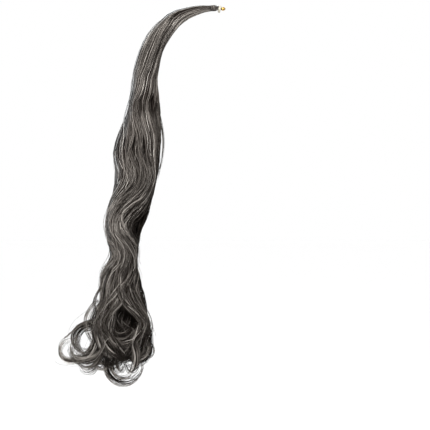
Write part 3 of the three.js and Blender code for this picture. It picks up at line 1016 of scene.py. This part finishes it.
def winding():
    """The lock wound round the root, as one long coil."""
    share = np.linspace(0, 1, WOUND_STEPS)
    at = [tail_row(X, WOUND_FRONT + (WOUND_BACK - WOUND_FRONT) * part) for part in share]
    sections = tail_sections(np.array(at))
    half_thick, half_wide = sections.half_thick + WOUND_RISE, sections.half_wide + WOUND_RISE
    sections = sections._replace(half_thick=half_thick, half_wide=half_wide)
    points, out, _ = on_tail(sections, FULL_TURN * WOUND_TURNS * share, np.ones(len(at)))
    pitch = (WOUND_FRONT - WOUND_BACK) / WOUND_TURNS
    side = np.cross(falls(points), out) * WOUND_WIDTH * pitch
    return Guide(points, side, out * WOUND_THICK, share, WOUND_TONE)


# Pieces


def link(name, mesh):
    piece = bpy.data.objects.new(name, mesh)
    bpy.context.scene.collection.objects.link(piece)
    return piece


def place(piece, node, slot):
    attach(piece, BODY)
    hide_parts(node)


def guide_object(name, guides):
    """Guide lines as an object of bare edges, with what each point needs to grow its lock."""
    counts = [len(guide.points) for guide in guides]
    starts = np.concatenate(([0], np.cumsum(counts)[:-1]))
    pairs = [np.stack((np.arange(count - 1), np.arange(1, count)), 1) for count in counts]
    edges = np.concatenate([start + pair for start, pair in zip(starts, pairs)])
    mesh = bpy.data.meshes.new(name)
    mesh.from_pydata(np.concatenate([guide.points for guide in guides]) * MM, edges.tolist(), [])
    fields = (
        ("side", "FLOAT_VECTOR", "vector", [guide.side * MM for guide in guides]),
        ("out", "FLOAT_VECTOR", "vector", [guide.out * MM for guide in guides]),
        ("along", "FLOAT", "value", [guide.along for guide in guides]),
        ("run", "FLOAT", "value", [run_along(guide.points) * MM for guide in guides]),
        ("lock_tone", "FLOAT", "value", [guide.tone + 0 * guide.along for guide in guides]),
        ("cool", "FLOAT", "value", [guide.cool + 0 * guide.along for guide in guides]),
    )
    for field, kind, key, values in fields:
        values = np.concatenate(values).astype(np.float32).ravel()
        mesh.attributes.new(field, kind, "POINT").data.foreach_set(key, values)
    return link(name, mesh)


def read(items, key, kind=int):
    values = np.empty(len(items), kind)
    items.foreach_get(key, values)
    return values


def strand_map(mesh):
    """Lays each strand out as its own strip of the piece's map, in rows of strips."""
    rows = 4
    corners = read(mesh.loops, "vertex_index")
    strand = read(mesh.attributes["strand_id"].data, "value")
    along = read(mesh.attributes["along"].data, "value", float)
    sizes, starts = read(mesh.polygons, "loop_total"), read(mesh.polygons, "loop_start")
    columns = math.ceil((strand.max() + 1) / rows)
    corner_of = corners % 3
    face = np.repeat(np.arange(len(sizes)), sizes)
    wraps = (np.maximum.reduceat(corner_of, starts) == 2) & (np.minimum.reduceat(corner_of, starts) == 0)
    wraps = wraps & (sizes == 4)
    around = np.where(wraps[face] & (corner_of == 0), 3, corner_of) / 3
    column, row = strand[corners] // rows, strand[corners] % rows
    places = ((column + 0.15 + 0.7 * around) / columns, (row + 0.03 + 0.94 * along[corners]) / rows)
    places = np.stack(places, 1).astype(np.float32).ravel()
    mesh.uv_layers.new(name="OFBake").data.foreach_set("uv", places)


def grow(name, guides, seed_step, node="hair_tail", slot="hair", **changes):
    """Grows a piece of strands on its guide lines, in place of a node."""
    hair = bpy.context.scene.ponytail_hair
    sizes = {
        "wisps": hair.wisps,
        "strands": hair.strands,
        "wisp_stray": hair.wisp_stray,
        "strand_stray": hair.strand_stray,
        "strand_radius": hair.strand_radius,
        "root_spread": 0.3,
        "tip_spread": 0.14,
        "shortest": 0.93,
        "latest_root": 0.0,
        "tip_tone": -0.36,
        "seed": hair.seed + seed_step,
        "material": bpy.data.materials.get("hair_strand") or strand_material(),
    } | changes
    wanted = {key.replace("_", " ").title(): value for key, value in sizes.items()}
    tree = bpy.data.node_groups.get("lock_of_strands") or bundle_tree()
    source = guide_object(name + "_guides", guides)
    modifier = source.modifiers.new("growth", "NODES")
    modifier.node_group = tree
    for item in tree.interface.items_tree:
        if item.in_out == "INPUT" and item.name in wanted:
            modifier[item.identifier] = wanted[item.name]
    grown = source.evaluated_get(bpy.context.evaluated_depsgraph_get())
    mesh = bpy.data.meshes.new_from_object(grown)
    mesh.name = name
    bpy.data.objects.remove(source)
    strand_map(mesh)
    spare = ("wisp", "strand", "lock", "side", "out", "run")
    for field in [item.name for item in mesh.attributes if item.name.split("_")[0] in spare]:
        mesh.attributes.remove(mesh.attributes[field])
    place(link(name, mesh), node, slot)


def lofted(name, tubes):
    """A mesh of closed tubes, each through rings of points, with a map of the way round and down each."""
    points, faces, maps = [], [], []
    for rings, falls_at, map_width in tubes:
        first = sum(len(part) for part in points)
        steps, around = rings.shape[:2]
        points.append(np.concatenate((rings.reshape(-1, 3), rings[:1].mean(1), rings[-1:].mean(1))))
        last = (steps - 1) * around
        for j in range(around):
            k = (j + 1) % around
            left, right = map_width * j / around, map_width * (j + 1) / around
            for i in range(steps - 1):
                here, below = first + i * around, first + (i + 1) * around
                faces.append((here + j, here + k, below + k, below + j))
                low, high = falls_at[i], falls_at[i + 1]
                maps.extend(((left, low), (right, low), (right, high), (left, high)))
            faces.append((first + steps * around, first + k, first + j))
            maps.extend(((left, 0), (right, 0), (left, 0)))
            faces.append((first + steps * around + 1, first + last + j, first + last + k))
            maps.extend(((left, 1), (left, 1), (right, 1)))
    mesh = bpy.data.meshes.new(name)
    mesh.from_pydata(np.concatenate(points) * MM, [], faces)
    mesh.uv_layers.new(name="fall").data.foreach_set("uv", np.asarray(maps, np.float32).ravel())
    mesh.polygons.foreach_set("use_smooth", np.ones(len(faces), bool))
    return link(name, mesh)


class PONYTAIL_OT_core(bpy.types.Operator):
    """Make the packed hair inside the tail and the ringlets, dark with painted shade"""

    bl_idname = "ponytail.core"
    bl_label = "Packed hair"

    lowest = -508
    sides = 72
    grooves = 18
    ringlet_sides = 10
    ringlet_share = 0.56
    ringlet_end = 0.96

    def execute(self, context):
        cores = (("hair_core", [self.tail()]), ("ringlet_cores", [self.ringlet(row) for row in RINGLETS]))
        material = core_material()
        for name, tubes in cores:
            piece = lofted(name, tubes)
            piece.data.materials.append(material)
            place(piece, "hair_tail", "hair")
        return {"FINISHED"}

    def tail(self):
        at = (np.linspace(0.1, 9, 24, endpoint=False), np.linspace(9, tail_row(Z, self.lowest), 60))
        sections = tail_sections(np.concatenate(at))
        z = sections.middle[:, Z]
        swing = swayed(sections, LEAST_SWAYED)
        share = 0.82 - 0.12 * smoothstep(-300, -450, z) - 0.2 * smoothstep(-470, -510, z)
        rings = []
        for angle in np.linspace(0, FULL_TURN, self.sides, endpoint=False):
            groove = 1 + 0.05 * smoothstep(-60, -200, z) * math.cos(self.grooves * angle)
            points, _, _ = on_tail(sections, angle + swing, share * groove)
            points[:, Y] += self.hollow(points)
            rings.append(points)
        return np.stack(rings, 1), share_along(sections.middle), 1

    def hollow(self, points):
        """How far the near face sinks in at the partings."""
        depth = sum(0.5 * row.radius * np.exp(-distance_from(row, points)) for row in PARTINGS)
        return depth * smoothstep(0, 20, -points[:, Y])

    def ringlet(self, row):
        guide = ringlet_lock(row)
        kept = guide.along < self.ringlet_end
        along = guide.along[kept]
        share = self.ringlet_share * (1 - 0.9 * smoothstep(0.68, self.ringlet_end, along))[:, None]
        points, side, out = (values[kept] for values in (guide.points, guide.side, guide.out))
        rings = [
            points + share * (math.cos(angle) * side + math.sin(angle) * out)
            for angle in np.linspace(0, FULL_TURN, self.ringlet_sides, endpoint=False)
        ]
        return np.stack(rings, 1), along, 0.2


class PONYTAIL_OT_tail(bpy.types.Operator):
    """Grow the locks that run down the tail"""

    bl_idname = "ponytail.tail"
    bl_label = "Tail locks"

    # Share of the way out of each layer's locks, and the shares of a turn that they lie between
    layers = (
        ("outer_hair_left", 0.93, -0.125, 0.125),
        ("outer_hair_far", 0.93, 0.125, 0.375),
        ("outer_hair_right", 0.93, 0.375, 0.625),
        ("outer_hair_near", 0.93, 0.625, 0.875),
        ("inner_hair", 0.83, 0.0, 1.0),
    )
    lowest = -506
    highest = -440
    lowered = 46

    def execute(self, context):
        hair = context.scene.ponytail_hair
        for step, (name, depth, first, last) in enumerate(self.layers):
            rng = np.random.default_rng(hair.seed + step)
            inner = name == "inner_hair"
            whole = hair.inner_locks if inner else hair.outer_locks
            count = round(whole * (last - first))
            guides = []
            for i in range(count):
                angle = FULL_TURN * (first + (last - first) * (i + rng.uniform(0.2, 0.8)) / count)
                inward = smoothstep(-0.2, -0.8, math.cos(angle))
                near = smoothstep(0.3, 0.8, -math.sin(angle))
                curl = Curl(
                    turn=rng.choice((-1, 1)) * rng.uniform(0.5, 2.0) * (1 - 0.5 * inward),
                    bend=hair.curl_radius / MM * rng.uniform(0.7, 1.25),
                    sweep=math.radians(rng.uniform(150, 280)),
                    drift=rng.uniform(-9, 9),
                )
                last_z = rng.uniform(self.lowest, self.highest - self.lowered * max(near, inward))
                tone = 0.2 + 0.8 * rng.uniform() ** 1.3 + 0.15 * inner
                lock_depth = depth * rng.uniform(0.95, 1.04)
                guides.append(tail_lock(angle, lock_depth, last_z, whole, curl, tone, rng))
            changes = {"wisps": 4, "strands": 3, "strand_radius": 1.5 * hair.strand_radius} if inner else {}
            grow(name, guides, 10 * step, **changes)
        return {"FINISHED"}


class PONYTAIL_OT_ringlets(bpy.types.Operator):
    """Grow the ringlets at the end of the tail"""

    bl_idname = "ponytail.ringlets"
    bl_label = "Ringlets"

    groups = (("ringlets_back", 0, 9), ("ringlets_low", 9, 14), ("ringlets_round", 14, 18))
    ringlet_sizes = {
        "wisps": 9,
        "strands": 6,
        "wisp_stray": 8 * MM,
        "strand_stray": 3.5 * MM,
        "root_spread": 0.24,
        "tip_spread": 0.17,
        "shortest": 0.8,
        "tip_tone": 0.1,
    }
    stray_sizes = {"wisps": 7, "strands": 1, "wisp_stray": 24 * MM, "shortest": 0.6}

    def execute(self, context):
        hair = context.scene.ponytail_hair
        for step, (name, first, last) in enumerate(self.groups):
            guides = [ringlet_lock(row) for row in RINGLETS[first:last]]
            grow(name, guides, 100 + 10 * step, **self.ringlet_sizes)
        guides = [ringlet_lock(row) for row in RINGLETS if abs(row.side) < 150 and row.radius > 11]
        guides = [guide._replace(side=1.3 * guide.side, out=1.5 * guide.out) for guide in guides]
        grow("ringlet_strays", guides, 140, strand_radius=0.75 * hair.strand_radius, **self.stray_sizes)
        return {"FINISHED"}


class PONYTAIL_OT_near_locks(bpy.types.Operator):
    """Grow the locks that swing across the near face"""

    bl_idname = "ponytail.near_locks"
    bl_label = "Near locks"

    sizes = {"wisps": 6, "strands": 4, "latest_root": 0.2, "tip_tone": -0.1}
    sunk_sizes = {"strands": 2, "wisp_stray": 14 * MM, "strand_stray": 6 * MM}

    def execute(self, context):
        shown = [near_face_lock(lock) for lock in NEAR_LOCKS if lock.depth > SUNK_DEPTH]
        sunk = [near_face_lock(lock) for lock in NEAR_LOCKS if lock.depth < SUNK_DEPTH]
        grow("near_locks", shown, 156, **self.sizes)
        grow("sunk_locks", sunk, 156, **self.sizes | self.sunk_sizes)
        return {"FINISHED"}


class PONYTAIL_OT_flyaways(bpy.types.Operator):
    """Grow wisps and single hairs that stand clear of the locks"""

    bl_idname = "ponytail.flyaways"
    bl_label = "Flyaway hairs"

    wisp_sizes = {"wisps": 5, "strands": 4, "root_spread": 0.6, "tip_spread": 0.5, "shortest": 0.75}
    loose_sizes = {"wisp_stray": 18 * MM, "tip_tone": 0.0, "shortest": 0.7}

    def execute(self, context):
        hair = context.scene.ponytail_hair
        rng = np.random.default_rng(hair.seed + 200)
        flyaways = [single_hair(rng.normal(0, 0.6), FLYAWAYS, rng) for _ in range(hair.flyaways)]
        loose = [single_hair(rng.uniform(-2.8, 0.4), LOOSE_HAIRS, rng) for _ in range(hair.loose_hairs)]
        wisps = [free_wisp(wisp) for wisp in FREE_WISPS]
        single = {"wisps": 1, "strands": 1, "strand_radius": 0.7 * hair.strand_radius}
        grow("free_wisps", wisps, 220, strand_radius=0.75 * hair.strand_radius, **self.wisp_sizes)
        grow("flyaway_hairs", flyaways, 200, **single)
        grow("loose_hairs", loose, 240, **single | self.loose_sizes)
        return {"FINISHED"}


class PONYTAIL_OT_winding(bpy.types.Operator):
    """Grow the lock that is wound round the root"""

    bl_idname = "ponytail.winding"
    bl_label = "Wound lock"

    sizes = {
        "wisps": 8,
        "strands": 4,
        "wisp_stray": 0.0,
        "strand_stray": 0.1 * MM,
        "strand_radius": 0.22 * MM,
        "root_spread": 0.16,
        "tip_spread": 0.16,
        "shortest": 0.97,
    }

    def execute(self, context):
        grow("wound_lock", [winding()], 300, "root_wrap", "wound_hair", **self.sizes)
        return {"FINISHED"}


class PONYTAIL_OT_hardware(bpy.types.Operator):
    """Finish the elastic band and the pin"""

    bl_idname = "ponytail.hardware"
    bl_label = "Band and pin"

    def execute(self, context):
        colours = context.scene.ponytail_colours
        finishes = {
            "end_band": elastic_material(colours.elastic),
            "hair_pin": brass_material(colours.brass),
        }
        for name, material in finishes.items():
            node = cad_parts[name]
            node.data.materials.clear()
            node.data.materials.append(material)
        return {"FINISHED"}


class PONYTAIL_OT_stage(bpy.types.Operator):
    """Set the camera, the lights and a plain pale floor"""

    bl_idname = "ponytail.stage"
    bl_label = "Stage"

    def execute(self, context):
        scene = context.scene
        stage = scene.ponytail_stage
        scene.view_settings.view_transform = "Standard"
        world = bpy.data.worlds.new("white_studio")
        world.use_nodes = True
        sky = world.node_tree.nodes["Background"]
        sky.inputs["Color"].default_value = (1, 1, 1, 1)
        sky.inputs["Strength"].default_value = stage.sky
        scene.world = world

        level = CAD_BOX[0][Z] - stage.floor_drop
        mesh = bpy.data.meshes.new("floor")
        signs = ((-1, -1), (1, -1), (1, 1), (-1, 1))
        mesh.from_pydata([(FLOOR_HALF * x, FLOOR_HALF * y, level) for x, y in signs], [], [(0, 1, 2, 3)])
        mesh.materials.append(floor_material())
        link("floor", mesh)

        for row in LIGHTS:
            self.light(row, getattr(stage, row.power))

        camera = bpy.data.cameras.new("camera")
        camera.sensor_width = SENSOR_WIDTH
        camera.lens = SENSOR_WIDTH * stage.distance / stage.view_width
        scene.camera = link("camera", camera)
        scene.camera.location = (stage.view_x, -stage.distance, stage.view_z)
        scene.camera.rotation_euler = (math.pi / 2, 0, 0)
        return {"FINISHED"}

    def light(self, row, watts):
        lamp = bpy.data.lights.new(row.name, "AREA")
        lamp.energy = watts
        lamp.size = row.size
        holder = link(row.name, lamp)
        holder.location = row.place
        holder.visible_glossy = row.glints
        aim = np.array(LIGHT_TARGET) - np.array(row.place)
        flat = math.hypot(aim[X], aim[Y])
        holder.rotation_euler = (math.atan2(flat, -aim[Z]), 0, math.atan2(aim[Y], aim[X]) - math.pi / 2)


class PONYTAIL_PT_panel(bpy.types.Panel):
    """Sizes, colours and steps of the ponytail"""

    bl_idname = "PONYTAIL_PT_panel"
    bl_label = "Ponytail"
    bl_space_type = "VIEW_3D"
    bl_region_type = "UI"
    bl_category = "Ponytail"

    def draw(self, context):
        for group in SETTINGS:
            settings = getattr(context.scene, group)
            box = self.layout.box()
            for name in settings.__annotations__:
                box.prop(settings, name)
        for step in STEPS:
            self.layout.operator(step.bl_idname)


STEPS = (
    PONYTAIL_OT_core,
    PONYTAIL_OT_tail,
    PONYTAIL_OT_ringlets,
    PONYTAIL_OT_near_locks,
    PONYTAIL_OT_flyaways,
    PONYTAIL_OT_winding,
    PONYTAIL_OT_hardware,
    PONYTAIL_OT_stage,
)
SETTINGS = {
    "ponytail_hair": HairSettings,
    "ponytail_colours": ColourSettings,
    "ponytail_stage": StageSettings,
}


def register():
    for kind in (*SETTINGS.values(), *STEPS, PONYTAIL_PT_panel):
        bpy.utils.register_class(kind)
    for name, kind in SETTINGS.items():
        setattr(bpy.types.Scene, name, PointerProperty(type=kind))


def unregister():
    for name in SETTINGS:
        delattr(bpy.types.Scene, name)
    for kind in (PONYTAIL_PT_panel, *reversed(STEPS), *SETTINGS.values()):
        bpy.utils.unregister_class(kind)


def main():
    register()
    for step in STEPS:
        family, name = step.bl_idname.split(".")
        getattr(getattr(bpy.ops, family), name)()


if __name__ == "__main__":
    main()
